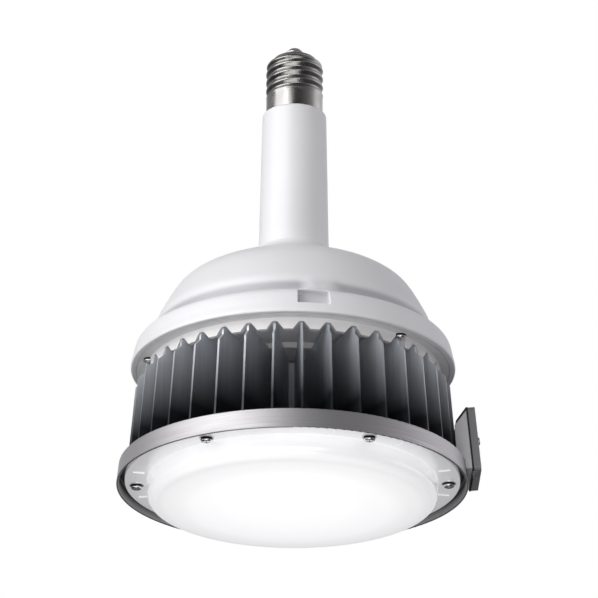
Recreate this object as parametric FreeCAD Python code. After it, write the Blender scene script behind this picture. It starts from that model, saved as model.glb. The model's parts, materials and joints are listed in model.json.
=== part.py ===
"""LED high bay lamp with a mogul screw base, modelled as it comes apart on a bench.

Every height below is measured up from the lower rim of the trim ring, in millimetres. export()
then lowers each shape so that the finished frame has its origin at the tip of the centre contact,
with +Z up and the lamp hanging below it. Azimuth 0 faces -Y and positive azimuth turns towards +X.
"""
import FreeCAD, Part
import math
import os

from FreeCAD import Vector

os.makedirs("parts", exist_ok=True)

# ---------------------------------------------------------------- driving dimensions
TIP_Z = 318.3              # centre contact tip above the trim ring's rim

SHELL_R = 19.5             # crest radius of the mogul screw shell
SHELL_WALL = 0.5
SHELL_BAND_R = 19.2        # plain band under the thread
SHELL_FOOT_Z = 258.0       # shell end, crimped inside the neck
THREAD_Z0, THREAD_Z1 = 281.5, 302.6
SHOULDER_R, SHOULDER_Z = 14.5, 309.9
CONTACT_R, CONTACT_Z = 7.2, 314.4
TIP_R = 3.7

NECK_TOP_Z, NECK_TOP_R = 267.7, 21.7
NECK_FOOT_Z, NECK_FOOT_R = 152.0, 23.7
NECK_WALL = 2.2
NECK_FLANGE_R, NECK_FLANGE_T = 36.0, 3.0

LIP_Z, LIP_R = 79.8, 106.5         # lower lip of the driver housing
HOUSING_WALL = 2.6
LEDGE_Z = 100.0                    # top of the rim band, where the cove starts
COVE_R = 90.8
LATCH_AZ = 7.2                     # azimuth of the latch pocket
LATCH_W, LATCH_DEEP = 20.0, 9.5
LATCH_Z0, LATCH_Z1 = 86.8, 96.4

FIN_COUNT = 36
FIN_PITCH = 360.0 / FIN_COUNT
FIN_PHASE = 3.2                    # azimuth of the first fin
FIN_T = 1.3
FIN_FOOT_R, FIN_HEAD_R = 107.0, 103.0
FIN_CHAMFER_Z, FIN_TAB_Z, FIN_TOP_Z = 67.5, 71.4, 76.5
FIN_TAB_R = 97.9
CORE_R, CORE_BORE_R = 28.0, 20.0
PLATE_Z0, PLATE_Z1, PLATE_R = 7.5, 12.4, 110.6

TRAY_Z0, TRAY_Z1, TRAY_R = 79.6, 82.0, 102.6
TRAY_SCREW_R, TRAY_SCREW_AZ = 96.5, (-75.0, 45.0, 165.0)
NECK_SCREW_R, NECK_SCREW_AZ = 30.0, (0.0, 120.0, 240.0)
CROWN_R0, CROWN_R1, CROWN_Z = 92.6, 97.0, 72.4
SEAT_R0, SEAT_R1 = 30.5, 54.0

RING_R0, RING_R1, RING_TOP_Z, RING_WALL = 113.8, 112.6, 13.2, 1.4

LENS_FLANGE_R, LENS_FLANGE_Z, LENS_FLANGE_T = 108.4, 3.0, 3.0
LENS_R, LENS_CORNER, LENS_CORNER_Z, LENS_CROWN_R = 94.0, 7.0, -4.6, 704.0
LENS_WALL = 2.4

LED_PAD_T, LED_BOARD_T, LED_BOARD_R = 0.5, 1.6, 84.0
LED_BOARD_Z = PLATE_Z0 - LED_PAD_T - LED_BOARD_T
LED_RINGS = ((22.0, 8), (40.0, 14), (58.0, 20), (75.0, 26))    # radius and number of chips

SCREW_R = 101.0                    # pitch radius of the lens screws
SCREW_COUNT = 6
SCREW_PHASE = FIN_PHASE - 3.5 * FIN_PITCH

BOX_AZ = 90.0                      # azimuth of the side cover
BOX_TILT = 5.0                     # lean of the side cover, top inwards
BOX_W, BOX_H, BOX_T = 44.0, 43.6, 4.6
BOX_MID_R, BOX_MID_Z = 114.7, 27.3 # inner face of the cover at mid height
SIDE_SCREW_X = (-14.0, 14.0)
GASKET_T = 1.2
MOUNT_REACH = 7.6                  # how far the mount's sloped top runs inwards
CLIP_X = -16.5

BOARD_Z, BOARD_T, BOARD_R = 92.0, 1.6, 72.0
POST_R, POST_AZ = 64.0, (30.0, 120.0, 210.0, 300.0)
TERMINAL_X, TERMINAL_Y = -44.0, 24.0   # place of the terminal block on the driver board
SWITCH_X, SWITCH_Y = 10.0, -38.0       # place of the power switches on the driver board

UP = Vector(0, 0, 1)


# ---------------------------------------------------------------- helpers
def export(name, shape):
    """Write one node, moved into the finished frame."""
    moved = shape.copy()
    moved.translate(Vector(0, 0, -TIP_Z))
    if not moved.isValid():
        print("not valid:", name)
    moved.exportStep("parts/%s.step" % name)


def outline(steps):
    """Closed wire in the XZ plane. A step is (r, z), or (via_r, via_z, r, z) for an arc."""
    at = Vector(steps[0][0], 0, steps[0][1])
    start = at
    edges = []
    for step in list(steps[1:]) + [(start.x, start.z)]:
        end = Vector(step[-2], 0, step[-1])
        if (end - at).Length < 1e-6:
            continue
        if len(step) == 4:
            edges.append(Part.Arc(at, Vector(step[0], 0, step[1]), end).toShape())
        else:
            edges.append(Part.LineSegment(at, end).toShape())
        at = end
    return Part.Wire(edges)


def turned(steps):
    """Solid of revolution about Z."""
    return Part.Face(outline(steps)).revolve(Vector(0, 0, 0), UP, 360)


def tube(r0, r1, z0, z1):
    """Plain ring between two radii, or a disc when r0 is 0."""
    solid = Part.makeCylinder(r1, z1 - z0, Vector(0, 0, z0))
    if r0 > 0:
        solid = solid.cut(Part.makeCylinder(r0, z1 - z0, Vector(0, 0, z0)))
    return solid


def at_azimuth(shape, azimuth):
    """Turn a shape that was built facing -Y to its azimuth."""
    placed = shape.copy()
    placed.rotate(Vector(0, 0, 0), UP, azimuth)
    return placed


def polar(radius, azimuth, z):
    """Point at a radius, an azimuth in degrees and a height."""
    angle = math.radians(azimuth)
    return Vector(radius * math.sin(angle), -radius * math.cos(angle), z)


def radial_slab(steps, thickness):
    """Plate that stands in the plane of azimuth 0; steps are (radius, z)."""
    points = [Vector(-thickness / 2, -r, z) for r, z in steps]
    face = Part.Face(Part.makePolygon(points + [points[0]]))
    return face.extrude(Vector(thickness, 0, 0))


def rounded_box(width, depth, height, radius):
    """Box on the XY plane, centred in X, from y=0 back, with its XZ corners rounded."""
    half = width / 2
    k = radius * (1 - math.sqrt(0.5))
    steps = [(-half + radius, 0), (half - radius, 0), (half - k, k, half, radius),
             (half, height - radius), (half - k, height - k, half - radius, height),
             (-half + radius, height), (-half + k, height - k, -half, height - radius),
             (-half, radius), (-half + k, k, -half + radius, 0)]
    return Part.Face(outline(steps)).extrude(Vector(0, depth, 0))


def pan_screw(point, down, head_r, head_h, shank_r, length):
    """Pan-head screw: `point` is under the head and `down` is the way the head faces."""
    edge = head_h * 0.55
    head = turned([(0, 0), (head_r, 0), (head_r, head_h - edge),
                   (head_r * 0.93, head_h * 0.8, head_r * 0.62, head_h), (0, head_h)])
    slot = Part.makeBox(head_r * 1.1, head_r * 0.22, head_h * 0.5,
                        Vector(-head_r * 0.55, -head_r * 0.11, head_h * 0.55))
    cross = slot.fuse(slot.copy().rotate(Vector(0, 0, 0), UP, 90))
    screw = head.cut(cross).fuse(Part.makeCylinder(shank_r, length, Vector(0, 0, -length)))
    screw.Placement = FreeCAD.Placement(point, FreeCAD.Rotation(UP, down))
    return screw


def wire_run(points, radius):
    """Round lead: straight runs joined by tangent arcs."""
    edges = []
    last = points[0]
    for i in range(1, len(points) - 1):
        here = points[i]
        back, ahead = points[i - 1] - here, points[i + 1] - here
        turn = math.pi - back.getAngle(ahead)
        shorter = min(back.Length, ahead.Length)
        bend = 0.45 * shorter / math.tan(turn / 2)
        reach = bend * math.tan(turn / 2)
        back.normalize()
        ahead.normalize()
        start, end = here + back * reach, here + ahead * reach
        middle = (back + ahead).normalize()
        centre = here + middle * (bend / math.cos(turn / 2))
        edges.append(Part.LineSegment(last, start).toShape())
        edges.append(Part.Arc(start, centre - middle * bend, end).toShape())
        last = end
    edges.append(Part.LineSegment(last, points[-1]).toShape())
    path = Part.Wire(edges)
    first = points[1] - points[0]
    profile = Part.Wire(Part.makeCircle(radius, points[0], first))
    return path.makePipeShell([profile], True, False)


# ---------------------------------------------------------------- screw base
def screw_shell():
    """Drawn metal shell. Its crest cylinder stands for the rolled thread."""
    outer = [(SHELL_BAND_R, SHELL_FOOT_Z), (SHELL_BAND_R, THREAD_Z0 - 0.8), (SHELL_R, THREAD_Z0),
             (SHELL_R, THREAD_Z1), (19.2, 305.4, 18.4, 307.4), (SHOULDER_R, SHOULDER_Z)]
    bore_r, band_bore_r = SHELL_R - 0.6, SHELL_BAND_R - SHELL_WALL
    inner = [(SHOULDER_R, SHOULDER_Z - 1.2), (18.0, 306.7), (18.6, 304.9, bore_r, THREAD_Z1),
             (bore_r, THREAD_Z0), (band_bore_r, THREAD_Z0 - 0.8), (band_bore_r, SHELL_FOOT_Z)]
    return turned(outer + inner)


def base_insulator():
    """Glass cone between the shell and the centre contact, with its plug inside the shell."""
    return turned([(3.0, 303.8), (11.0, 303.8), (17.4, 306.0), (SHOULDER_R, SHOULDER_Z - 1.2),
                   (SHOULDER_R, SHOULDER_Z), (CONTACT_R + 0.2, CONTACT_Z - 0.3), (3.0, CONTACT_Z - 1.2)])


def centre_contact():
    """Contact cap with a rounded solder tip and a rivet stem."""
    return turned([(0, 298.8), (2.9, 298.8), (2.9, CONTACT_Z - 1.2), (CONTACT_R, CONTACT_Z - 0.3),
                   (CONTACT_R, CONTACT_Z + 0.5), (TIP_R + 0.5, TIP_Z - 0.5),
                   (TIP_R + 0.15, TIP_Z - 0.1, TIP_R - 0.4, TIP_Z), (0, TIP_Z)])


# ---------------------------------------------------------------- neck and driver housing
def neck_tube():
    """Moulded neck with one degree of draft, a rounded shoulder and a flange at its foot."""
    top_in, foot_in = NECK_TOP_R - NECK_WALL - 0.4, NECK_FOOT_R - NECK_WALL
    r = 2.0                             # rounding of the shoulder
    k = r * (1 - math.sqrt(0.5))        # from the square corner to the middle of its arc
    flange_z = NECK_FOOT_Z - NECK_FLANGE_T
    body = turned([
        (SHELL_BAND_R + 0.05, NECK_TOP_Z), (NECK_TOP_R - r, NECK_TOP_Z),
        (NECK_TOP_R - k, NECK_TOP_Z - k, NECK_TOP_R, NECK_TOP_Z - r), (NECK_FOOT_R, NECK_FOOT_Z),
        (NECK_FLANGE_R, NECK_FOOT_Z), (NECK_FLANGE_R, flange_z), (foot_in, flange_z),
        (top_in, SHELL_FOOT_Z - 3.0), (SHELL_BAND_R + 0.05, SHELL_FOOT_Z - 0.05)])
    holes = [Part.makeCylinder(1.6, 5.0, polar(NECK_SCREW_R, a, flange_z - 1)) for a in NECK_SCREW_AZ]
    return body.cut(Part.makeCompound(holes))


def housing_outer():
    """Outer outline of the driver housing from its lip up to the neck."""
    return [(LIP_R - 1.2, LIP_Z), (LIP_R - 0.3, LIP_Z + 0.4, LIP_R, LIP_Z + 1.4),
            (LIP_R - 1.1, 86.0), (LIP_R - 2.0, 91.0), (LIP_R - 3.6, 95.6, LIP_R - 8.0, 98.2),
            (LIP_R - 11.5, 99.4), (COVE_R + 0.9, LEDGE_Z + 1.0, COVE_R, LEDGE_Z + 4.4),
            (COVE_R - 0.3, LEDGE_Z + 8.4), (COVE_R - 1.0, LEDGE_Z + 11.8, COVE_R - 2.6, LEDGE_Z + 16.0),
            (82.2, 126.9), (77.8, 135.6, 69.5, 141.4), (45.0, 153.4),
            (30.0, 161.6, NECK_FOOT_R + 0.3, 168.6)]


def latch_bulge():
    """Soft swelling that fills the cove above the latch pocket."""
    swell = Part.makeSphere(1.0)
    stretch = FreeCAD.Matrix()
    stretch.scale(12.5, 3.8, 6.4)
    swell = swell.transformGeometry(stretch)
    swell.translate(Vector(0, -COVE_R + 1.5, LEDGE_Z + 6.0))
    swell = at_azimuth(swell, LATCH_AZ + 4.3)
    hollow = turned([(0, LEDGE_Z - 8), (COVE_R - 1.0, LEDGE_Z - 8), (COVE_R - 1.0, LEDGE_Z + 9),
                     (COVE_R - 4.5, LEDGE_Z + 16), (0, LEDGE_Z + 16)])
    return swell.cut(hollow)


def driver_housing():
    """Cast cover: rim band, cove and dome in one shell, with a deep latch pocket in the band."""
    neck_hole_r = NECK_FOOT_R + 0.05
    w = HOUSING_WALL
    inner = [(neck_hole_r, 168.6), (neck_hole_r, NECK_FOOT_Z), (41.5, NECK_FOOT_Z), (68.2, 138.9),
             (75.6, 133.6, 79.8, 125.9), (COVE_R - 5.0, LEDGE_Z + 15.0), (COVE_R - w, LEDGE_Z + 8.0),
             (COVE_R - w, LEDGE_Z - 3.2), (LIP_R - 11.0, LEDGE_Z - 4.0),
             (LIP_R - 6.4, 93.6, LIP_R - 4.7, 89.5), (LIP_R - 3.0, LIP_Z)]
    shell = turned(housing_outer() + inner)
    high = LATCH_Z1 - LATCH_Z0
    wall = Part.makeBox(LATCH_W + 4, LATCH_DEEP - 0.2, high + 4,
                        Vector(-LATCH_W / 2 - 2, -LIP_R + 2.2, LATCH_Z0 - 2))
    pocket = Part.makeBox(LATCH_W, LATCH_DEEP + 3, high, Vector(-LATCH_W / 2, -LIP_R - 3, LATCH_Z0))
    envelope = turned(housing_outer() + [(0, 168.6), (0, LIP_Z)])
    wall = at_azimuth(wall, LATCH_AZ).common(envelope)
    shell = shell.fuse(wall).cut(at_azimuth(pocket, LATCH_AZ)).fuse(latch_bulge())
    for azimuth in TRAY_SCREW_AZ:
        post = Part.makeCylinder(3.6, LEDGE_Z - 2.0 - TRAY_Z1, polar(TRAY_SCREW_R, azimuth, TRAY_Z1))
        hole = Part.makeCylinder(1.5, 9.0, polar(TRAY_SCREW_R, azimuth, TRAY_Z1))
        shell = shell.fuse(post).cut(hole)
    for azimuth in NECK_SCREW_AZ:
        shell = shell.cut(Part.makeCylinder(1.45, 7.0, polar(NECK_SCREW_R, azimuth, NECK_FOOT_Z)))
    return shell.removeSplitter()


def crown_notch():
    """Flared slot that clears one fin tab in the hanging crown."""
    wide, narrow = 5.2, 1.6
    points = [Vector(-wide, -90, CROWN_Z - 1), Vector(wide, -90, CROWN_Z - 1),
              Vector(wide, -90, CROWN_Z + 0.4), Vector(narrow, -90, CROWN_Z + 4.9),
              Vector(-narrow, -90, CROWN_Z + 4.9), Vector(-wide, -90, CROWN_Z + 0.4)]
    return Part.Face(Part.makePolygon(points + [points[0]])).extrude(Vector(0, -12, 0))


def driver_tray():
    """Moulded underside of the driver housing: disc, hanging crown and the seat on the fins."""
    body = turned([(16.0, TRAY_Z0), (SEAT_R0, TRAY_Z0), (SEAT_R0, FIN_TOP_Z), (SEAT_R1, FIN_TOP_Z),
                   (SEAT_R1 + 1.2, TRAY_Z0), (CROWN_R0, TRAY_Z0), (CROWN_R0 + 0.6, CROWN_Z),
                   (CROWN_R1 - 0.6, CROWN_Z), (CROWN_R1, TRAY_Z0), (TRAY_R, TRAY_Z0),
                   (TRAY_R, TRAY_Z1), (SEAT_R1, TRAY_Z1), (SEAT_R1, TRAY_Z1 - 1.0),
                   (SEAT_R0, TRAY_Z1 - 1.0), (SEAT_R0, TRAY_Z1), (16.0, TRAY_Z1)])
    notches = [at_azimuth(crown_notch(), FIN_PHASE + i * FIN_PITCH) for i in range(FIN_COUNT)]
    body = body.cut(Part.makeCompound(notches))
    for azimuth in TRAY_SCREW_AZ:
        hole = Part.makeCylinder(1.9, 12.0, polar(TRAY_SCREW_R, azimuth, CROWN_Z - 1))
        recess = Part.makeCylinder(4.4, TRAY_Z0 - CROWN_Z + 1, polar(TRAY_SCREW_R, azimuth, CROWN_Z - 1))
        body = body.cut(hole).cut(recess)
    return body


# ---------------------------------------------------------------- heat sink
def fin():
    """One cooling fin: tapered outer edge, chamfer, stepped tab and level top."""
    return radial_slab([
        (CORE_R - 2.0, PLATE_Z1 - 1.0), (FIN_FOOT_R, PLATE_Z1 - 1.0), (FIN_FOOT_R, PLATE_Z1 + 1.5),
        (FIN_HEAD_R, FIN_CHAMFER_Z - 1.0), (FIN_HEAD_R - 0.5, FIN_CHAMFER_Z),
        (FIN_TAB_R + 0.3, FIN_TAB_Z), (FIN_TAB_R, FIN_TAB_Z + 0.4), (FIN_TAB_R, FIN_TOP_Z - 2.0),
        (FIN_TAB_R - 0.6, FIN_TOP_Z - 0.6), (FIN_TAB_R - 2.0, FIN_TOP_Z), (CORE_R - 2.0, FIN_TOP_Z)], FIN_T)


def screw_boss():
    """Rounded boss on the plate above one lens screw."""
    return turned([(0, PLATE_Z1 - 1), (4.8, PLATE_Z1 - 1), (4.5, PLATE_Z1 + 2.6),
                   (3.9, PLATE_Z1 + 3.9, 2.6, PLATE_Z1 + 4.4), (0, PLATE_Z1 + 4.4)])


def heat_sink():
    """Cast aluminium: plate, hollow core, radial fins and screw bosses, all in one."""
    body = turned([(8.0, PLATE_Z0), (PLATE_R - 0.6, PLATE_Z0), (PLATE_R, PLATE_Z0 + 0.6), (PLATE_R, PLATE_Z1),
                   (CORE_R, PLATE_Z1), (CORE_R, FIN_TOP_Z), (CORE_BORE_R, FIN_TOP_Z),
                   (CORE_BORE_R, PLATE_Z1 + 3.0), (8.0, PLATE_Z1 + 3.0)])
    fins = [at_azimuth(fin(), FIN_PHASE + i * FIN_PITCH) for i in range(FIN_COUNT)]
    bosses = []
    holes = []
    for i in range(SCREW_COUNT):
        spot = polar(SCREW_R, SCREW_PHASE + i * 60.0, 0)
        boss = screw_boss()
        boss.translate(spot)
        bosses.append(boss)
        holes.append(Part.makeCylinder(1.9, 7.0, spot + Vector(0, 0, PLATE_Z0 - 0.5)))
    body = body.multiFuse(fins + bosses)
    return body.cut(Part.makeCompound(holes)).removeSplitter()


# ---------------------------------------------------------------- light engine
def trim_ring():
    """Spun band with a folded top lip that laps the plate and a rolled lower rim."""
    w = RING_WALL
    return turned([
        (RING_R0 - w, 0.5), (RING_R0 - w / 2, 0.0, RING_R0, 0.5), (RING_R1, RING_TOP_Z - 0.6),
        (RING_R1 - 0.2, RING_TOP_Z - 0.15, RING_R1 - 0.7, RING_TOP_Z),
        (FIN_FOOT_R + 1.6, RING_TOP_Z), (FIN_FOOT_R + 1.6, PLATE_Z1), (PLATE_R + 0.05, PLATE_Z1),
        (PLATE_R + 0.05, PLATE_Z1 - 2.4), (RING_R0 - w - 0.35, PLATE_Z1 - 4.0)])


def lens_skin(inset):
    """Section of the opal face from axis to rim, set in by inset: crown, corner and wall."""
    tube_r = LENS_R - LENS_CORNER
    reach = LENS_CROWN_R - LENS_CORNER
    lean = math.asin(tube_r / reach)
    crown_z = LENS_CORNER_Z + reach * math.cos(lean)

    def arc_point(r, z, radius, angle):
        return (r + radius * math.sin(angle), z - radius * math.cos(angle))

    crown = LENS_CROWN_R - inset
    corner = LENS_CORNER - inset
    halfway = (lean + math.pi / 2) / 2
    crown_arc = arc_point(0, crown_z, crown, lean / 2) + arc_point(0, crown_z, crown, lean)
    corner_arc = arc_point(tube_r, LENS_CORNER_Z, corner, halfway) + (LENS_R - inset, LENS_CORNER_Z)
    return [(0, crown_z - crown), crown_arc, corner_arc]


def mirrored(steps):
    """The same section walked from its last point back to its first."""
    ends = [step[-2:] for step in steps]
    back = [ends[-1]]
    for i in range(len(steps) - 1, 0, -1):
        back.append(steps[i][:-2] + ends[i - 1])
    return back


def lens():
    """Opal cover: flat screw flange, short wall and a gently crowned face."""
    top = LENS_FLANGE_Z + LENS_FLANGE_T
    flange = [(LENS_R, LENS_FLANGE_Z), (LENS_FLANGE_R, LENS_FLANGE_Z), (LENS_FLANGE_R, top),
              (LENS_R - LENS_WALL, top)]
    body = turned(lens_skin(0) + flange + mirrored(lens_skin(LENS_WALL)))
    ribs = []
    holes = []
    for i in range(SCREW_COUNT):
        azimuth = SCREW_PHASE + i * 60.0
        holes.append(Part.makeCylinder(2.3, 6, polar(SCREW_R, azimuth, LENS_FLANGE_Z - 1)))
        for side in (-13.5, 13.5):
            rib = Part.makeBox(0.8, 7.5, 0.7, Vector(-0.4, -SCREW_R - 3.5, LENS_FLANGE_Z - 0.6))
            ribs.append(at_azimuth(rib, azimuth + side))
    return body.cut(Part.makeCompound(holes)).multiFuse(ribs)


def lens_gasket():
    """Silicone seal between the lens flange and the plate."""
    body = tube(97.0, 108.0, LENS_FLANGE_Z + LENS_FLANGE_T, PLATE_Z0)
    holes = [Part.makeCylinder(2.2, 4, polar(SCREW_R, SCREW_PHASE + i * 60.0, 5)) for i in range(SCREW_COUNT)]
    return body.cut(Part.makeCompound(holes))


def lens_washers():
    """Sprung washers let into the lens flange under the screw heads."""
    z = LENS_FLANGE_Z - 0.6
    rings = []
    for i in range(SCREW_COUNT):
        spot = polar(SCREW_R, SCREW_PHASE + i * 60.0, z)
        rings.append(Part.makeCylinder(4.6, 0.6, spot).cut(Part.makeCylinder(2.1, 0.6, spot)))
    return Part.makeCompound(rings)


def lens_screws():
    """Screws that hold the lens flange to the plate."""
    screws = []
    for i in range(SCREW_COUNT):
        spot = polar(SCREW_R, SCREW_PHASE + i * 60.0, LENS_FLANGE_Z - 0.6)
        screws.append(pan_screw(spot, -UP, 3.7, 2.4, 1.88, 9.5))
    return Part.makeCompound(screws)


def led_pad():
    """Thermal pad between the LED board and the plate."""
    return tube(10.0, 80.0, PLATE_Z0 - LED_PAD_T, PLATE_Z0)


def led_board():
    """Round board that carries the LED chips."""
    return tube(0, LED_BOARD_R, LED_BOARD_Z, LED_BOARD_Z + LED_BOARD_T)


def led_chips():
    """LED chips in rings on the board's lower face."""
    chips = []
    for radius, count in LED_RINGS:
        for i in range(count):
            chip = Part.makeBox(3.0, 3.0, 0.8, Vector(-1.5, -radius - 1.5, LED_BOARD_Z - 0.8))
            chips.append(at_azimuth(chip, i * 360.0 / count))
    return Part.makeCompound(chips)


def reflector_ring():
    """White ring that closes the gap between the LED board and the lens wall."""
    z = LED_BOARD_Z
    wall_r = LENS_R - LENS_WALL - 0.1
    return turned([(79.0, z), (79.0, z - 0.5), (83.0, z - 0.9), (wall_r - 0.8, z - 3.8),
                   (wall_r, z - 3.8), (wall_r, z - 3.2), (LED_BOARD_R, z)])


# ---------------------------------------------------------------- side cover
def seat_box(shape):
    """Lean a side piece and carry it to its place; it is built with its inner face on y=0."""
    placed = shape.copy()
    placed.translate(Vector(0, 0, -BOX_H / 2))
    placed.rotate(Vector(0, 0, 0), Vector(1, 0, 0), -BOX_TILT)
    placed.translate(Vector(0, -BOX_MID_R, BOX_MID_Z))
    return at_azimuth(placed, BOX_AZ)


def side_holes(radius, y0, y1):
    """The two screw holes of the side cover, before it is leaned and placed."""
    return Part.makeCompound([
        Part.makeCylinder(radius, y1 - y0, Vector(x, y0, BOX_H / 2), Vector(0, 1, 0)) for x in SIDE_SCREW_X])


def side_prism(section, width):
    """Prism across the side cover from a section given as (inwards, up) points."""
    points = [Vector(-width / 2, inwards, up) for inwards, up in section]
    return Part.Face(Part.makePolygon(points + points[:1])).extrude(Vector(width, 0, 0))


def side_cover():
    """Flat cover with rounded corners, hollowed from the back."""
    block = rounded_box(BOX_W, -BOX_T, BOX_H, 3.0)
    hollow = rounded_box(BOX_W - 4, -BOX_T + 1.6, BOX_H - 4, 2.0)
    hollow.translate(Vector(0, 0, 2))
    rim = block.cut(hollow)
    for x in SIDE_SCREW_X:
        rim = rim.fuse(Part.makeCylinder(2.8, BOX_T, Vector(x, 0, BOX_H / 2), Vector(0, -1, 0)))
    rim = rim.cut(side_holes(1.6, -BOX_T, 0))
    return seat_box(rim.removeSplitter())


def side_gasket():
    """Rubber sheet behind the cover, folded over the mount's sloped top."""
    width = BOX_W - 0.4
    sheet = Part.makeBox(width, GASKET_T, BOX_H - 1.0, Vector(-width / 2, 0, 0.5))
    flap = side_prism([(GASKET_T, BOX_H - 0.5), (MOUNT_REACH + 0.9, BOX_H - 1.6 - MOUNT_REACH),
                       (MOUNT_REACH, BOX_H - 2.4 - MOUNT_REACH), (GASKET_T, BOX_H - 2.6)], width)
    return seat_box(sheet.fuse(flap).cut(side_holes(1.6, -1, 3)).removeSplitter())


def side_mount():
    """Block with a sloped top that carries the side cover, cut to the ring's curve."""
    body = side_prism([(GASKET_T, 1.5), (GASKET_T, BOX_H - 2.6), (MOUNT_REACH, BOX_H - 2.4 - MOUNT_REACH),
                       (MOUNT_REACH + 3.0, BOX_H - 5.4 - MOUNT_REACH), (MOUNT_REACH + 3.0, 1.5)], BOX_W - 1.2)
    body = seat_box(body.cut(side_holes(1.43, 0, GASKET_T + 3.6)))
    ring_body = turned([(0, -5), (RING_R0 + 0.52, -5), (RING_R1 + 0.08, RING_TOP_Z + 0.05),
                        (FIN_FOOT_R + 1.2, RING_TOP_Z + 0.05), (FIN_FOOT_R + 0.8, 14.0),
                        (FIN_HEAD_R + 0.6, 80), (0, 80)])
    return body.cut(ring_body)


def side_clip():
    """Sprung clip that hooks under the cover's lower edge."""
    strip = Part.makeBox(4.0, 1.0, 7.0, Vector(-2.0, 0.1, -6.6))
    hook = Part.makeBox(4.0, 2.8, 1.0, Vector(-2.0, -2.7, -1.0))
    foot = Part.makeBox(4.0, 2.2, 2.4, Vector(-2.0, -1.2, -6.6))
    clip = strip.fuse(hook).fuse(foot).removeSplitter()
    clip.translate(Vector(CLIP_X, 0, 0))
    return seat_box(clip)


def side_screws():
    """Two screws that hold the side cover to its mount."""
    screws = []
    for x in SIDE_SCREW_X:
        screw = pan_screw(Vector(x, -BOX_T, BOX_H / 2), Vector(0, -1, 0), 2.6, 1.6, 1.4, BOX_T + 4.5)
        screws.append(seat_box(screw))
    return Part.makeCompound(screws)


# ---------------------------------------------------------------- driver
def driver_board():
    """Round circuit board of the driver, with a clear hole over each post."""
    body = tube(0, BOARD_R, BOARD_Z, BOARD_Z + BOARD_T)
    holes = [Part.makeCylinder(1.7, 5, polar(POST_R, a, BOARD_Z - 1)) for a in POST_AZ]
    return body.cut(Part.makeCompound(holes))


def board_posts():
    """Posts that stand the driver board off the tray."""
    posts = [Part.makeCylinder(3.2, BOARD_Z - TRAY_Z1, polar(POST_R, a, TRAY_Z1)) for a in POST_AZ]
    return Part.makeCompound(posts)


def board_screws():
    """Screws through the driver board into its posts."""
    z = BOARD_Z + BOARD_T
    screws = [pan_screw(polar(POST_R, a, z), UP, 3.0, 2.0, 1.6, BOARD_T) for a in POST_AZ]
    return Part.makeCompound(screws)


def on_board(shape, x, y):
    """Carry a component to its place on the driver board."""
    placed = shape.copy()
    placed.translate(Vector(x, y, BOARD_Z + BOARD_T))
    return placed


def transformer():
    """Bobbin and ferrite halves of the main transformer, varnished into one block."""
    core = Part.makeBox(34, 28, 24, Vector(-17, -14, 1.5))
    window = Part.makeBox(36, 9, 15, Vector(-18, -14.5, 6.0))
    core = core.cut(window).cut(window.translated(Vector(0, 20, 0)))
    coil = Part.makeCylinder(10.5, 30, Vector(0, -15, 13.5), Vector(0, 1, 0))
    foot = Part.makeBox(30, 30, 2.0, Vector(-15, -15, 0))
    return on_board(core.fuse(coil).fuse(foot), -26, -8)


def capacitor(radius, height):
    """One can with the rolled groove near its foot."""
    return turned([(0, 0), (radius - 0.4, 0), (radius, 0.4), (radius, 2.4), (radius - 0.5, 3.0),
                   (radius, 3.6), (radius, height - 0.5), (radius - 0.5, height), (0, height)])


def capacitors():
    """Electrolytic cans of the driver."""
    spots = ((22, 22, 9.0, 30.0), (42, 12, 8.0, 25.0), (22, -2, 6.3, 20.0), (40, -12, 6.3, 20.0))
    return Part.makeCompound([on_board(capacitor(r, h), x, y) for x, y, r, h in spots])


def line_choke():
    """Toroidal choke at the mains side."""
    ring = Part.makeTorus(8.0, 4.2, Vector(0, 0, 4.2))
    return on_board(ring, -4, 38)


def power_switches():
    """Two flat packages screwed to a folded heat spreader."""
    blocks = [Part.makeBox(10, 4.6, 15, Vector(x, -2.3, 3.0)) for x in (-14, 4)]
    return Part.makeCompound([on_board(block, SWITCH_X, SWITCH_Y) for block in blocks])


def switch_spreader():
    """Folded heat spreader behind the power switches."""
    plate = Part.makeBox(36, 2.0, 20, Vector(-18, 2.3, 0))
    foot = Part.makeBox(36, 9, 2.0, Vector(-18, 2.3, 0))
    return on_board(plate.fuse(foot), SWITCH_X, SWITCH_Y)


def terminal_block():
    """Two-way block where the mains leads end."""
    block = Part.makeBox(16, 10, 12, Vector(-8, -5, 0))
    for x in (-4, 4):
        block = block.cut(Part.makeCylinder(2.0, 6.0, Vector(x, 0, 6.0)))
    return on_board(block, TERMINAL_X, TERMINAL_Y)


def grommet():
    """Rubber bush where the output leads drop through the tray."""
    return turned([(4.0, TRAY_Z0 - 2), (18.0, TRAY_Z0 - 2), (18.0, TRAY_Z0), (16.0, TRAY_Z0),
                   (16.0, TRAY_Z1), (18.0, TRAY_Z1), (18.0, TRAY_Z1 + 2), (4.0, TRAY_Z1 + 2)])


def base_leads():
    """Two mains leads from the base down the neck to the terminal block."""
    z = BOARD_Z + BOARD_T + 6.0
    live = [Vector(0, 0, 298.7), Vector(1.5, 2.0, 262.0), Vector(-5.0, 5.0, 212.0), Vector(-7.0, 6.0, 168.0),
            Vector(-9.0, 8.0, 140.0), Vector(-24.0, 16.0, 124.0),
            Vector(TERMINAL_X + 4, TERMINAL_Y, 114.0), Vector(TERMINAL_X + 4, TERMINAL_Y, z)]
    neutral = [Vector(-17.3, 0, 264.0), Vector(-12.5, -2.5, 238.0), Vector(-12.0, 0.5, 200.0),
               Vector(-13.0, 2.0, 168.0), Vector(-14.0, 4.0, 143.0), Vector(-32.0, 14.0, 126.0),
               Vector(TERMINAL_X - 4, TERMINAL_Y, 118.0), Vector(TERMINAL_X - 4, TERMINAL_Y, z)]
    return Part.makeCompound([wire_run(live, 1.3), wire_run(neutral, 1.3)])


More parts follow.
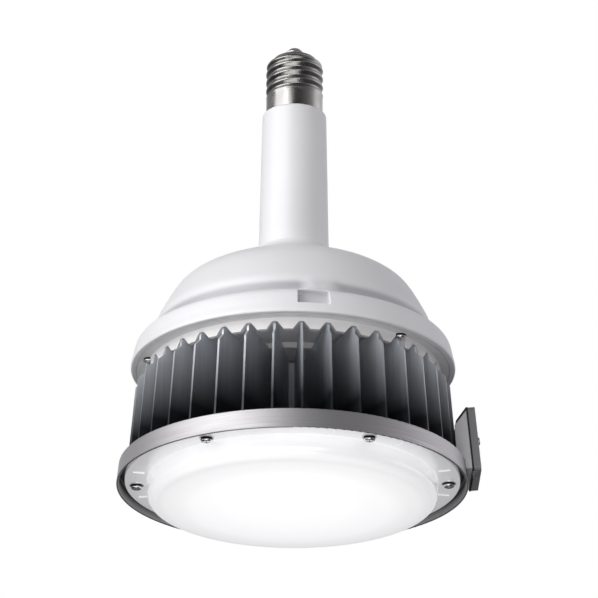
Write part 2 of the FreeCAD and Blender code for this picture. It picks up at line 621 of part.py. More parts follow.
def output_leads():
    """Pair of leads from the driver board through the core to the LED board."""
    leads = []
    for x in (-2.0, 2.0):
        route = [Vector(x, 0, BOARD_Z - 0.03), Vector(x, 0.4, 70.0), Vector(x, -0.6, 44.0),
                 Vector(x, 0.5, 22.0), Vector(x, 0.5, LED_BOARD_Z + LED_BOARD_T)]
        leads.append(wire_run(route, 1.2))
    return Part.makeCompound(leads)


def tray_screws():
    """Screws through the tray into the housing's posts."""
    screws = [pan_screw(polar(TRAY_SCREW_R, a, TRAY_Z0), -UP, 3.6, 2.6, 1.45, 10.5) for a in TRAY_SCREW_AZ]
    return Part.makeCompound(screws)


def neck_screws():
    """Screws through the neck's flange into the housing."""
    z = NECK_FOOT_Z - NECK_FLANGE_T
    screws = [pan_screw(polar(NECK_SCREW_R, a, z), -UP, 2.8, 2.0, 1.4, 9.0) for a in NECK_SCREW_AZ]
    return Part.makeCompound(screws)


NODES = {
    "centre_contact": centre_contact, "base_insulator": base_insulator, "screw_shell": screw_shell,
    "neck_tube": neck_tube, "driver_housing": driver_housing, "driver_tray": driver_tray,
    "heat_sink": heat_sink, "trim_ring": trim_ring, "lens": lens, "lens_gasket": lens_gasket,
    "lens_washers": lens_washers, "lens_screws": lens_screws, "led_pad": led_pad, "led_board": led_board,
    "led_chips": led_chips, "reflector_ring": reflector_ring, "side_mount": side_mount,
    "side_gasket": side_gasket, "side_cover": side_cover, "side_clip": side_clip,
    "side_screws": side_screws, "driver_board": driver_board, "board_posts": board_posts,
    "board_screws": board_screws, "transformer": transformer, "capacitors": capacitors,
    "line_choke": line_choke, "power_switches": power_switches, "switch_spreader": switch_spreader,
    "terminal_block": terminal_block, "grommet": grommet, "base_leads": base_leads,
    "output_leads": output_leads, "tray_screws": tray_screws, "neck_screws": neck_screws,
}

for node_name, build in NODES.items():
    export(node_name, build())
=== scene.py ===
"""High bay light: looks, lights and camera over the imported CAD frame."""
import json
import math

import bmesh
import bpy
from mathutils import Matrix, Vector


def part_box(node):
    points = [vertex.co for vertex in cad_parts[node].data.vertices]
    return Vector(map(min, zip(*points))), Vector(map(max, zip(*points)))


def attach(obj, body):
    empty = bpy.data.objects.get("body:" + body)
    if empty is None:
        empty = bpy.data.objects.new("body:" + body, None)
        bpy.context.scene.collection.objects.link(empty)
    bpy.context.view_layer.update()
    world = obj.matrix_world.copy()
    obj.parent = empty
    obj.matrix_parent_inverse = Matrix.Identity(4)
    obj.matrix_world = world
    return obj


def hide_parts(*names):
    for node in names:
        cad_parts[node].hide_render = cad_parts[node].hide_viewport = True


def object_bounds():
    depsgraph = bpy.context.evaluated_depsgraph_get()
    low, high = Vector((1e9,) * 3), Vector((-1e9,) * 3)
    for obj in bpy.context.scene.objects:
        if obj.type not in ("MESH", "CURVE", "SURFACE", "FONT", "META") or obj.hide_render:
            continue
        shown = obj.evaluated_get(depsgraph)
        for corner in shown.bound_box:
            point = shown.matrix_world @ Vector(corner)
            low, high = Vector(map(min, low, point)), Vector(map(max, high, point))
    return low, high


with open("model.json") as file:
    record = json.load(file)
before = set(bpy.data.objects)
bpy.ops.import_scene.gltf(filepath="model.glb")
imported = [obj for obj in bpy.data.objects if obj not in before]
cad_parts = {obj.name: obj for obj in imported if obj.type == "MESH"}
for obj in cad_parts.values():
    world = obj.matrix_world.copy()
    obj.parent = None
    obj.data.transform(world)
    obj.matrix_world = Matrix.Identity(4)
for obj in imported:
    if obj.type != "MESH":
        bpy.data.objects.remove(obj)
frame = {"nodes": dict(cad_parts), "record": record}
CAD_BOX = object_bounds()
NODES = frame["nodes"]
MM = 0.001                           # the frame is in metres


# ---------------------------------------------------------------- node helpers
def fill_ramp(node, stops, tint=(1.0, 1.0, 1.0)):
    """Give a colour ramp eased stops, each a place above 0 and a brightness of the tint."""
    ramp = node.color_ramp
    ramp.interpolation = "EASE"
    ramp.elements.remove(ramp.elements[1])
    for place, level in stops:
        ramp.elements.new(place).color = (*(level * part for part in tint), 1)
    ramp.elements.remove(ramp.elements[0])


def feed(tree, socket, source):
    """Link a socket from another one, or set it to a colour or a number."""
    if isinstance(source, bpy.types.NodeSocket):
        tree.links.new(source, socket)
    elif isinstance(source, tuple):
        socket.default_value = (*source, 1)
    else:
        socket.default_value = source


def mix(tree, factor, a, b, blend="MIX"):
    """Colour that goes from a to b, or to their product, with the factor."""
    made = tree.nodes.new("ShaderNodeMix")
    made.data_type = "RGBA"
    made.blend_type = blend
    feed(tree, made.inputs["Factor"], factor)
    feed(tree, made.inputs["A"], a)
    feed(tree, made.inputs["B"], b)
    return made.outputs["Result"]


class Look:
    """A node material built from a Principled shader, with helpers for its textures."""

    def __init__(self, name, colour, rough=0.5, metal=0.0):
        self.material = bpy.data.materials.new(name)
        self.material.use_nodes = True
        self.tree = self.material.node_tree
        self.shader = self.tree.nodes["Principled BSDF"]
        self.colour = colour
        self.put("Base Color", (*colour, 1))
        self.put("Roughness", rough)
        self.put("Metallic", metal)
        self.where = self.node("ShaderNodeTexCoord").outputs["Object"]

    def put(self, socket, value):
        """Set a constant on the shader."""
        self.shader.inputs[socket].default_value = value

    def drive(self, socket, source):
        """Link one of the shader's sockets."""
        self.join(source, self.shader.inputs[socket])

    def node(self, kind, **inputs):
        """New node with its inputs set, where From_Min stands for From Min."""
        made = self.tree.nodes.new(kind)
        for key, value in inputs.items():
            made.inputs[key.replace("_", " ")].default_value = value
        return made

    def join(self, source, target):
        """Link two sockets."""
        self.tree.links.new(source, target)

    def stretched(self, scale):
        """Object coordinates scaled apart along the axes."""
        mapping = self.node("ShaderNodeMapping", Scale=scale)
        self.join(self.where, mapping.inputs["Vector"])
        return mapping.outputs["Vector"]

    def along(self, axis):
        """Position along one axis."""
        parts = self.node("ShaderNodeSeparateXYZ")
        self.join(self.where, parts.inputs[0])
        return parts.outputs[axis]

    def radius(self):
        """Distance from the lamp's axis."""
        flat = self.node("ShaderNodeCombineXYZ")
        for axis in ("X", "Y"):
            self.join(self.along(axis), flat.inputs[axis])
        length = self.node("ShaderNodeVectorMath")
        length.operation = "LENGTH"
        self.join(flat.outputs[0], length.inputs[0])
        return length.outputs["Value"]

    def noise(self, scale, detail=3.0, vector=None):
        """Noise over the object's coordinates, or over those given."""
        made = self.node("ShaderNodeTexNoise", Scale=scale, Detail=detail)
        self.join(vector or self.where, made.inputs["Vector"])
        return made.outputs["Fac"]

    def spread(self, value, low, high, from_low=0.3, from_high=0.7):
        """Value mapped from one range to another. Noise lies mostly between 0.3 and 0.7."""
        made = self.node("ShaderNodeMapRange", From_Min=from_low, From_Max=from_high,
                         To_Min=low, To_Max=high)
        self.join(value, made.inputs["Value"])
        return made.outputs["Result"]

    def tint(self, value, other, from_low=0.3, from_high=0.7):
        """Base colour that goes from the look's own colour to another with value."""
        share = self.spread(value, 0.0, 1.0, from_low, from_high)
        colour = mix(self.tree, share, self.colour, other)
        self.drive("Base Color", colour)
        return colour

    def bump(self, height, strength, distance):
        """Relief too fine for the mesh."""
        made = self.node("ShaderNodeBump", Strength=strength, Distance=distance)
        self.join(height, made.inputs["Height"])
        self.drive("Normal", made.outputs["Normal"])


def darker(colour, share):
    """The colour less that share of itself."""
    return tuple(part * (1 - share) for part in colour)


def moulded(name, colour, rough, grain=900.0, depth=0.00004, mottle=0.06):
    """Moulded plastic or powder coat: fine grain, faint mottling."""
    look = Look(name, colour, rough)
    look.tint(look.noise(9.0), darker(colour, mottle))
    look.drive("Roughness", look.spread(look.noise(60.0), rough - 0.04, rough + 0.05))
    look.bump(look.noise(grain, 2.0), 0.35, depth)
    return look


def metal(name, colour, rough, grain=700.0, depth=0.00003, mottle=0.12):
    """Bare metal with uneven gloss. Without mottle its colour is left plain."""
    look = Look(name, colour, rough, 1.0)
    if mottle:
        look.tint(look.noise(40.0), darker(colour, mottle))
    look.drive("Roughness", look.spread(look.noise(140.0), rough - 0.05, rough + 0.07))
    look.bump(look.noise(grain, 3.0), 0.4, depth)
    return look


def dress(node, look):
    """Put a look on one of the CAD meshes."""
    slots = NODES[node].data.materials
    slots.clear()
    slots.append(look.material)


# ---------------------------------------------------------------- materials of the nodes
# Glow of the opal cover: radius in millimetres, and strength against full brightness.
GLOW = ((1.0, 1.00), (30.0, 0.99), (60.0, 0.93), (80.0, 0.79), (88.0, 0.69), (91.0, 0.62), (93.5, 0.50),
        (95.5, 0.36), (108.0, 0.34))
GLOW_REACH = 0.12                    # radius at the end of the ramp, metres
GLOW_TINT = (1.0, 1.0, 1.01)
RIM_FROM, RIM_TO = 88.0 * MM, 92.0 * MM          # the face's colour goes over to the rim's here
RIM_DULL, RIM_CLEAN = (0.40, 0.40, 0.41), (0.78, 0.78, 0.79)


def opal_look():
    """Opal cover that glows from within, most at its middle, with a duller, ringed rim."""
    look = Look("opal", (0.90, 0.90, 0.91), 0.28)
    radius = look.radius()
    glow = look.node("ShaderNodeValToRGB")
    fill_ramp(glow, [(at * MM / GLOW_REACH, level) for at, level in GLOW], GLOW_TINT)
    look.join(look.spread(radius, 0.0, 1.0, 0.0, GLOW_REACH), glow.inputs["Fac"])
    look.drive("Emission Color", glow.outputs["Color"])
    look.put("Emission Strength", 1.0)
    look.put("Coat Weight", 1.0)
    look.put("Coat IOR", 1.7)
    look.put("Coat Roughness", 0.18)
    line = look.node("ShaderNodeCombineXYZ")
    look.join(radius, line.inputs["X"])
    unmarked = look.node("ShaderNodeMath")
    unmarked.operation = "MULTIPLY"
    look.join(look.spread(look.noise(900.0, 3.0, line.outputs[0]), 0.75, 1.0), unmarked.inputs[0])
    look.join(look.spread(look.noise(55.0, 4.0), 0.86, 1.0), unmarked.inputs[1])
    rim = mix(look.tree, unmarked.outputs[0], RIM_DULL, RIM_CLEAN)
    outward = look.spread(radius, 0.0, 1.0, RIM_FROM, RIM_TO)
    look.drive("Base Color", mix(look.tree, outward, look.colour, rim))
    return look


RECESS_FROM, RECESS_TO = 0.35, 0.75  # share of a screw head's height over which painted shade takes it dark


def painted_shade_screw_look(name, node, deep):
    """Bright screw heads that face down, with painted shade dark in their recess and round their sides."""
    look = metal(name, (0.80, 0.80, 0.81), 0.22, mottle=0.0)
    face_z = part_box(node)[0].z
    # painted shade: near black above the face, in the recess and round the sides
    look.tint(look.along("Z"), (0.015, 0.015, 0.016), face_z + RECESS_FROM * deep, face_z + RECESS_TO * deep)
    return look


def ring_look():
    """Aluminium brushed round the ring: fine rings of scratches, stretched highlights."""
    look = Look("ring_finish", (0.45, 0.44, 0.446), 0.44, 1.0)
    lines = look.noise(1.0, 2.0, look.stretched((30.0, 30.0, 2600.0)))
    look.tint(lines, (0.38, 0.37, 0.38))
    look.drive("Roughness", look.spread(lines, 0.40, 0.50))
    look.put("Anisotropic", 0.45)
    tangent = look.node("ShaderNodeTangent")
    tangent.direction_type = "RADIAL"
    tangent.axis = "Z"
    look.drive("Tangent", tangent.outputs[0])
    look.bump(lines, 0.15, 0.00003)
    return look


PAINTED_SHADE_SHARE = 0.27                    # share of the fins' height, from the foot, that stays dark with painted shade


def casting_look():
    """Bare die casting: vertical draw grain, with painted shade dark at the fins' foot that lightens to
    painted light towards their tops.
    """
    look = Look("bare_casting", (0.018, 0.020, 0.024), 0.42, 0.35)
    low, high = (corner.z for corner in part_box("heat_sink"))
    # painted shade and painted light: near black at the fins' foot, light slate at their tops
    head = look.tint(look.along("Z"), (0.66, 0.69, 0.735), low + PAINTED_SHADE_SHARE * (high - low), high)
    grain = look.noise(1.0, 4.0, look.stretched((420.0, 420.0, 30.0)))
    streaks = look.spread(grain, 0.0, 0.35)
    look.drive("Base Color", mix(look.tree, streaks, head, (0.62, 0.63, 0.65), "MULTIPLY"))
    look.drive("Roughness", look.spread(look.noise(80.0), 0.36, 0.50))
    look.bump(look.noise(1400.0, 2.0), 0.3, 0.00003)
    return look


def board_look(name, colour, trace):
    """Circuit board: square cells of another tone for its copper."""
    look = Look(name, colour, 0.35)
    cells = look.node("ShaderNodeTexVoronoi", Scale=160.0)
    cells.distance = "MANHATTAN"
    look.join(look.where, cells.inputs["Vector"])
    look.tint(cells.outputs["Distance"], trace, 0.2, 0.5)
    return look


WHITE = (0.86, 0.86, 0.875)
PAINT = (WHITE, 0.38, 1200.0, 0.00005)

# For each slot the colour and the roughness. Scale and depth of the grain and the mottling
# follow where they aren't the usual ones.
MOULDED = {
    "vitrite": ((0.20, 0.20, 0.205), 0.25),
    "white_neck": (WHITE, 0.34),
    "white_paint": PAINT,
    "white_moulding": ((0.84, 0.825, 0.83), 0.55),
    "silicone": ((0.62, 0.62, 0.63), 0.6),
    "pad_grey": ((0.42, 0.43, 0.45), 0.7),
    "board_white": ((0.86, 0.86, 0.86), 0.3),
    "led_yellow": ((0.85, 0.66, 0.12), 0.3),
    "black_rubber": ((0.012, 0.012, 0.012), 0.6),
    "dark_moulding": ((0.24, 0.232, 0.245), 0.45),
    "ferrite": ((0.04, 0.04, 0.043), 0.5),
    "sleeve_blue": ((0.03, 0.05, 0.16), 0.3),
    "choke_green": ((0.03, 0.16, 0.10), 0.4),
    "black_moulding": ((0.02, 0.02, 0.02), 0.45),
    "terminal_green": ((0.06, 0.24, 0.10), 0.45),
    "lead_white": ((0.80, 0.80, 0.80), 0.5),
    "lead_red": ((0.42, 0.02, 0.015), 0.5),
}
METALS = {
    "contact_solder": ((0.52, 0.52, 0.52), 0.40, 500.0, 0.0002),
    "nickel_shell": ((0.40, 0.392, 0.38), 0.27, 260.0, 0.00012, 0.35),
    "screw_steel": ((0.60, 0.60, 0.61), 0.26),
    "clip_steel": ((0.34, 0.37, 0.38), 0.3),
    "brass_post": ((0.65, 0.47, 0.20), 0.25),
    "spreader": ((0.66, 0.67, 0.68), 0.35),
}


def slot_looks():
    """A look for each material slot of the record."""
    made = {slot: moulded(slot, *values) for slot, values in MOULDED.items()}
    made.update((slot, metal(slot, *values)) for slot, values in METALS.items())
    made["bare_casting"] = casting_look()
    made["ring_finish"] = ring_look()
    made["opal"] = opal_look()
    made["board_green"] = board_look("board_green", (0.02, 0.12, 0.05), (0.03, 0.20, 0.08))
    return made


def node_looks():
    """Looks of single nodes that differ from the rest of their slot."""
    return {
        "lens_screws": painted_shade_screw_look("lens_screw_steel", "lens_screws", 2.0 * MM),
        "tray_screws": painted_shade_screw_look("tray_screw_steel", "tray_screws", 2.2 * MM),
        "side_mount": moulded("mount_cast", (0.66, 0.65, 0.67), 0.5),
    }


# ---------------------------------------------------------------- turned pieces
def ease(value, low, high):
    """Smooth step from 0 at low to 1 at high."""
    t = min(max((value - low) / (high - low), 0.0), 1.0)
    return t * t * (3 - 2 * t)


def hump(value, rise_from, rise_to, fall_from, fall_to):
    """Eases up from 0 to 1 over the first two values and back down over the last two."""
    return ease(value, rise_from, rise_to) * (1 - ease(value, fall_from, fall_to))


def smooth_line(knots, steps):
    """Points of a smooth line through the knots (centripetal Catmull-Rom)."""
    knots = [Vector(knot) for knot in knots]
    first, last = 2 * knots[0] - knots[1], 2 * knots[-1] - knots[-2]
    ends = [first] + knots + [last]
    line = [knots[0]]
    for a, b, c, d in zip(ends, ends[1:], ends[2:], ends[3:]):
        t0 = 0.0
        t1 = t0 + (b - a).length ** 0.5
        t2 = t1 + (c - b).length ** 0.5
        t3 = t2 + (d - c).length ** 0.5
        for step in range(1, steps + 1):
            t = t1 + (t2 - t1) * step / steps
            ab = a.lerp(b, (t - t0) / (t1 - t0))
            bc = b.lerp(c, (t - t1) / (t2 - t1))
            cd = c.lerp(d, (t - t2) / (t3 - t2))
            abc = ab.lerp(bc, (t - t0) / (t2 - t0))
            bcd = bc.lerp(cd, (t - t1) / (t3 - t1))
            line.append(abc.lerp(bcd, (t - t1) / (t2 - t1)))
    return line


def closed_skin(name, loops, look, node, shade=None):
    """Piece whose rings of points run up the outside and back down the inside of a shell.

    shade holds a value for each point, for the look to read as the attribute "shade".
    """
    mesh = bmesh.new()
    layer = mesh.verts.layers.float.new("shade")
    rows = [[mesh.verts.new(point) for point in loop] for loop in loops]
    for row, after in zip(rows, rows[1:] + rows[:1]):
        for i in range(len(row)):
            j = (i + 1) % len(row)
            mesh.faces.new((row[i], row[j], after[j], after[i]))
    if shade:
        for row, values in zip(rows, shade):
            for vert, value in zip(row, values):
                vert[layer] = value
    data = bpy.data.meshes.new(name)
    mesh.to_mesh(data)
    mesh.free()
    data.shade_smooth()
    data.materials.append(look.material)
    piece = bpy.data.objects.new(name, data)
    bpy.context.collection.objects.link(piece)
    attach(piece, "root")
    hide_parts(node)


# ---------------------------------------------------------------- screw base
PITCH = 6.35 * MM
CREST_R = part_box("screw_shell")[1].x
BAND_R = CREST_R - 0.3 * MM          # plain band under the thread
ROOT_DEPTH = 1.9 * MM
SHELL_WALL = 0.45 * MM
BASE_FOOT_Z, BASE_TOP_Z = (corner.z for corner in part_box("screw_shell"))
THREAD_Z0 = BASE_TOP_Z - 28.4 * MM
THREAD_Z1 = BASE_TOP_Z - 6.8 * MM
THREAD_START = THREAD_Z0 + 1.3 * MM  # height of a crest on the +X side
RUN_IN = 1.5 * MM                    # the thread fades in over this much below and above its start
RUN_OUT_BELOW, RUN_OUT_ABOVE = 1.0 * MM, 2.5 * MM
BAND_EASE = 2 * MM                   # height over which the band widens to the crests
SHELL_COLUMNS, SHELL_ROWS = 120, 150
# The shoulder above the thread: distance in from the crest, and down from the shell's mouth.
SHOULDER = ((0.0, 6.8), (0.35, 5.3), (1.2, 3.9), (2.6, 2.7), (3.9, 1.6), (5.0, 0.5), (5.1, 0.0))


def shoulder_radius(z):
    """Radius of the rounded shoulder at a height."""
    down = (BASE_TOP_Z - z) / MM
    for (r0, z0), (r1, z1) in zip(SHOULDER, SHOULDER[1:]):
        if down >= z1:
            return CREST_R - (r0 + (r1 - r0) * (z0 - down) / (z0 - z1)) * MM
    return CREST_R - SHOULDER[-1][0] * MM


def shell_radius(angle, z):
    """Radius of the drawn shell: plain band, rolled right-hand thread, rounded shoulder."""
    wave = 0.5 - 0.5 * math.cos(2 * math.pi * (z - THREAD_START) / PITCH - angle)
    fade = hump(z, THREAD_Z0 - RUN_IN, THREAD_Z0 + RUN_IN,
                THREAD_Z1 - RUN_OUT_BELOW, THREAD_Z1 + RUN_OUT_ABOVE)
    crest = BAND_R + (CREST_R - BAND_R) * ease(z, THREAD_Z0 - BAND_EASE, THREAD_Z0)
    if z > THREAD_Z1:
        crest = shoulder_radius(z)
    return crest - ROOT_DEPTH * fade * wave


def add_screw_shell(look):
    """Screw shell with its rolled thread, as a thin skin."""
    upwards = range(SHELL_ROWS + 1)
    loops = []
    for inset, rows in ((0.0, upwards), (SHELL_WALL, reversed(upwards))):
        for row in rows:
            z = BASE_FOOT_Z + (BASE_TOP_Z - BASE_FOOT_Z) * row / SHELL_ROWS
            loop = []
            for step in range(SHELL_COLUMNS):
                angle = 2 * math.pi * step / SHELL_COLUMNS
                radius = shell_radius(angle, z) - inset
                loop.append((radius * math.cos(angle), radius * math.sin(angle), z))
            loops.append(loop)
    closed_skin("screw_shell_rolled", loops, look, "screw_shell")


# ---------------------------------------------------------------- driver housing
LIP_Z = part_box("driver_housing")[0].z
LATCH_AZ = 7.2                       # azimuth of the latch pocket, degrees
LATCH_HALF = 5.5                     # half its width, degrees
LATCH_Z0, LATCH_Z1 = LIP_Z + 7.0 * MM, LIP_Z + 16.6 * MM
LATCH_FLOOR_R = 97.5 * MM
LATCH_WALL = 2 * MM                  # wall behind the pocket's floor
LATCH_MARGIN = 1.2                   # how much wider the pocket's back is, degrees
LATCH_EASE_AZ, LATCH_EASE_Z = 0.2, 0.45 * MM     # half widths of the pocket's rolled edges
BULGE_AZ, BULGE_HALF, BULGE_OUT = 11.5, 9.5, 2.2 * MM
BULGE_FLAT = 0.35                    # share of its half width over which the bulge is full
COVE_Z = LIP_Z + 23.0 * MM

# Heights where the bulge and the cove's painted shade start, are full, leave off and end.
BULGE_Z = [LIP_Z + up * MM for up in (20.0, 23.0, 25.0, 33.0)]
COVE_SHADE_Z = [COVE_Z + up * MM for up in (-3.0, 0.0, 2.0, 6.5)]

COLUMN_STEP = 1.5                    # degrees between the mesh's columns
EDGE_STEP_AZ, EDGE_STEPS_AZ = 0.06, 5            # closer columns at the pocket's sides
EDGE_STEP_Z, EDGE_STEPS_Z = 0.14 * MM, 4         # closer rows at its upper and lower edge
OUTLINE_STEPS = 6                    # points from one knot of the outline to the next

PAINTED_SHADE = (0.58, 0.58, 0.60)           # painted shade: what the paint's colour is multiplied by at full shade, against unshaded paint
# painted shade in the latch pocket, as a share of the full painted shade
POCKET_SHADE = 0.5
BULGE_LIFTS_SHADE = 0.7                   # share of the cove's painted shade that the bulge takes away

# Outlines from the lip upwards: radius, and height above the lip, in millimetres.
HOUSING_OUTSIDE = (
    (102.8, 0.0), (105.3, 0.0), (106.2, 0.4), (106.5, 1.4), (105.5, 6.2), (104.5, 11.2), (103.2, 15.1),
    (101.2, 17.2), (98.0, 18.5), (94.0, 19.5), (91.8, 20.8), (90.9, 23.4), (90.9, 27.2), (90.2, 32.2),
    (87.6, 37.8), (84.6, 43.4), (81.0, 49.7), (76.1, 56.3), (68.6, 62.0), (57.4, 67.6), (46.0, 72.8),
    (34.5, 78.2), (27.6, 82.0), (24.5, 84.8), (23.3, 87.4))
HOUSING_INSIDE = (
    (23.3, 85.0), (24.0, 75.0), (41.5, 69.4), (66.0, 59.2), (77.6, 48.2), (85.6, 35.2), (87.6, 28.2),
    (87.6, 17.0), (95.0, 16.0), (99.8, 13.8), (101.6, 9.8), (103.0, 2.4))


def housing_azimuths():
    """Azimuths of the mesh's columns, close together at the sides of the latch pocket."""
    azimuths = [COLUMN_STEP * i for i in range(round(360 / COLUMN_STEP))]
    for side in (LATCH_AZ - LATCH_HALF, LATCH_AZ + LATCH_HALF):
        azimuths += [side + EDGE_STEP_AZ * i for i in range(-EDGE_STEPS_AZ, EDGE_STEPS_AZ + 1)]
    return sorted(azimuths)


def outside_outline():
    """Radius and height up the outside, with rows close together at the pocket's edges."""
    outline = [(point.x * MM, LIP_Z + point.y * MM) for point in smooth_line(HOUSING_OUTSIDE, OUTLINE_STEPS)]
    for edge in (LATCH_Z0, LATCH_Z1):
        for i in range(-EDGE_STEPS_Z, EDGE_STEPS_Z + 1):
            z = edge + EDGE_STEP_Z * i
            above = next(k for k, (r, height) in enumerate(outline) if height > z and r > LATCH_FLOOR_R)
            (r0, z0), (r1, z1) = outline[above - 1], outline[above]
            outline.insert(above, (r0 + (r1 - r0) * (z - z0) / (z1 - z0), z))
    return outline


def latch_depth(azimuth, z, margin):
    """1 inside the latch pocket, 0 outside it, with a rolled edge.

    The margin widens the pocket, in degrees to each side and twice as many millimetres up and down.
    """
    away = abs(azimuth - LATCH_AZ)
    side = LATCH_HALF + margin
    across = 1 - ease(away, side - LATCH_EASE_AZ, side + LATCH_EASE_AZ)
    low, high = LATCH_Z0 - 2 * margin * MM, LATCH_Z1 + 2 * margin * MM
    return across * hump(z, low - LATCH_EASE_Z, low + LATCH_EASE_Z, high - LATCH_EASE_Z, high + LATCH_EASE_Z)


def bulge(azimuth, z):
    """Soft swelling in the cove above the latch pocket, from 0 to 1."""
    across = 1 - ease(abs(azimuth - BULGE_AZ), BULGE_FLAT * BULGE_HALF, BULGE_HALF)
    return across * hump(z, *BULGE_Z)


def add_housing(look):
    """Driver housing: rim band, cove and dome, with the latch pocket pressed into the band."""
    azimuths = housing_azimuths()
    inside = [(r * MM, LIP_Z + up * MM) for r, up in HOUSING_INSIDE]
    outer_wall = (outside_outline(), 0.0, LATCH_FLOOR_R, 1.0)
    inner_wall = (inside, LATCH_MARGIN, LATCH_FLOOR_R - LATCH_WALL, 0.0)
    loops, shade = [], []
    for outline, margin, floor, swelling in (outer_wall, inner_wall):
        for r, z in outline:
            loop, values = [], []
            for azimuth in azimuths:
                depth = latch_depth(azimuth, z, margin)
                swell = swelling * bulge(azimuth, z)
                radius = r + (min(floor, r) - r) * depth + BULGE_OUT * swell
                angle = math.radians(azimuth)
                loop.append((radius * math.sin(angle), -radius * math.cos(angle), z))
                # painted shade in the cove and the latch pocket, kept as the mesh's shade attribute
                cove = hump(z, *COVE_SHADE_Z) * (1 - BULGE_LIFTS_SHADE * swell)
                values.append(max(cove, POCKET_SHADE * depth))
            loops.append(loop)
            shade.append(values)
    closed_skin("housing_moulded", loops, look, "driver_housing", shade)


def with_painted_shade(look):
    """Painted shade: darken the paint where the mesh's shade attribute marks the cove and the latch pocket.
    """
    unmarked = look.shader.inputs["Base Color"].links[0].from_socket
    mask = look.node("ShaderNodeAttribute")
    mask.attribute_name = "shade"
    look.drive("Base Color", mix(look.tree, mask.outputs["Fac"], unmarked, PAINTED_SHADE, "MULTIPLY"))
    return look


# ---------------------------------------------------------------- camera
FOCAL_MM, SENSOR_MM = 180.6, 36.0
CAMERA_AT = Vector((0.00368, -1.83426, -0.95889))
CAMERA_PITCH = math.radians(22.865)
CAMERA_ROLL = math.radians(0.2646)
VIEW_END = 20.0


def add_camera():
    """Camera below the lamp, turned up towards it."""
    data = bpy.data.cameras.new("camera")
    data.lens = FOCAL_MM
    data.sensor_width = SENSOR_MM
    data.clip_end = VIEW_END
    camera = bpy.data.objects.new("camera", data)
    aim = Matrix.Rotation(math.radians(90) + CAMERA_PITCH, 4, "X") @ Matrix.Rotation(CAMERA_ROLL, 4, "Z")
    camera.matrix_world = Matrix.Translation(CAMERA_AT) @ aim
    bpy.context.collection.objects.link(camera)
    bpy.context.scene.camera = camera


# ---------------------------------------------------------------- stage and lights
COOL = (1.0, 0.985, 1.03)

# Brightness of the surround by azimuth (degrees, 0 in front, plus towards +X), and by height from
# 0 straight below to 1 straight above.
SURROUND = (
    (-88, 0.66), (-66, 0.32), (-40, 0.07), (0, 0.06), (20, 0.09), (52, 0.24), (70, 0.44), (92, 0.92),
    (130, 0.92), (180, 0.70), (230, 0.44), (252, 0.40))
HEIGHTS = ((0.10, 0.08), (0.28, 0.12), (0.47, 0.50), (0.60, 1.0), (0.76, 1.0), (0.97, 0.30))
FRONT_TURN = 0.25                    # where the front lies on the gradient's round

FLOOR_Z, FLOOR_R, FLOOR_SIDES = -2.9, 12.0, 64


def around(azimuth, elevation, distance):
    """A point seen from the lamp's middle at that azimuth (0 faces the front, plus towards +X)."""
    a, e = math.radians(azimuth), math.radians(elevation)
    middle = (CAD_BOX[0] + CAD_BOX[1]) / 2
    return middle + distance * Vector((math.sin(a) * math.cos(e), -math.cos(a) * math.cos(e), math.sin(e)))


def add_softbox(name, azimuth, elevation, distance, size, power, colour=(1, 1, 1)):
    """Area light that faces the lamp's middle. Distance and size are in metres, power in watts."""
    data = bpy.data.lights.new(name, "AREA")
    data.shape = "RECTANGLE"
    data.size, data.size_y = size
    data.energy = power
    data.color = colour
    lamp = bpy.data.objects.new(name, data)
    lamp.location = around(azimuth, elevation, distance)
    lamp.rotation_euler = (around(0, 0, 0) - lamp.location).to_track_quat("-Z", "Y").to_euler()
    bpy.context.collection.objects.link(lamp)


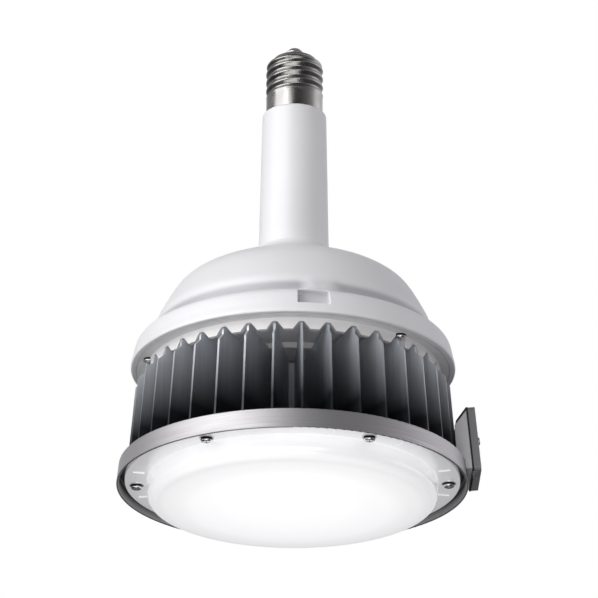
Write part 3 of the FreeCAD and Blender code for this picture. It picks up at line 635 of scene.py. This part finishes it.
def add_world():
    """Surround behind a white backdrop: dark in front, brightest on the right side, less so
    behind and on the left, and dimmer towards straight above and straight below."""
    world = bpy.data.worlds.new("surround")
    bpy.context.scene.world = world
    world.use_nodes = True
    tree = world.node_tree
    node, link = tree.nodes.new, tree.links.new
    way = node("ShaderNodeTexCoord").outputs["Generated"]
    turn = node("ShaderNodeTexGradient")
    turn.gradient_type = "RADIAL"
    link(way, turn.inputs["Vector"])
    by_azimuth = node("ShaderNodeValToRGB")
    stops = [((azimuth / 360.0 + FRONT_TURN) % 1.0, level) for azimuth, level in SURROUND]
    fill_ramp(by_azimuth, stops, COOL)
    link(turn.outputs["Fac"], by_azimuth.inputs["Fac"])
    parts = node("ShaderNodeSeparateXYZ")
    link(way, parts.inputs[0])
    rise = node("ShaderNodeMapRange")
    rise.inputs["From Min"].default_value = -1.0
    link(parts.outputs["Z"], rise.inputs["Value"])
    by_height = node("ShaderNodeValToRGB")
    fill_ramp(by_height, HEIGHTS)
    link(rise.outputs["Result"], by_height.inputs["Fac"])
    surround = mix(tree, 1.0, by_azimuth.outputs["Color"], by_height.outputs["Color"], "MULTIPLY")
    seen = node("ShaderNodeLightPath").outputs["Is Camera Ray"]
    link(mix(tree, seen, surround, (1.0, 1.0, 1.0)), tree.nodes["Background"].inputs["Color"])


def add_floor():
    """Pale floor well below the hung lamp. It is a backdrop only and throws no light back."""
    data = bpy.data.meshes.new("floor")
    mesh = bmesh.new()
    bmesh.ops.create_circle(mesh, cap_ends=True, segments=FLOOR_SIDES, radius=FLOOR_R)
    mesh.to_mesh(data)
    mesh.free()
    floor = bpy.data.objects.new("floor", data)
    floor.location.z = FLOOR_Z
    look = moulded("floor", (0.90, 0.90, 0.90), 0.8)
    look.put("Emission Color", (1, 1, 1, 1))
    look.put("Emission Strength", 0.7)
    data.materials.append(look.material)
    floor.visible_diffuse = False
    floor.visible_glossy = False
    bpy.context.collection.objects.link(floor)


def add_lights():
    """Large key from the left, small fills in front and below, a faint rim from the right."""
    add_softbox("key", azimuth=-55, elevation=12, distance=2.6, size=(2.6, 2.8), power=60)
    add_softbox("left_fill", azimuth=-27, elevation=22, distance=2.4, size=(1.1, 1.2), power=9)
    add_softbox("front_fill", azimuth=4, elevation=-14, distance=1.8, size=(1.2, 0.8), power=7)
    add_softbox("low_fill", azimuth=-14, elevation=-52, distance=1.7, size=(1.3, 0.9), power=7)
    add_softbox("rim", azimuth=104, elevation=16, distance=2.2, size=(1.2, 1.4), power=3, colour=COOL)


# ---------------------------------------------------------------- the scene
looks = slot_looks()
special = node_looks()
for part in frame["record"]["subparts"]:
    dress(part["node"], special.get(part["node"], looks[part["material_slot"]]))
add_screw_shell(looks["nickel_shell"])
add_housing(with_painted_shade(moulded("white_paint_coved", *PAINT)))
add_camera()
add_world()
add_floor()
add_lights()
bpy.context.scene.view_settings.view_transform = "Standard"
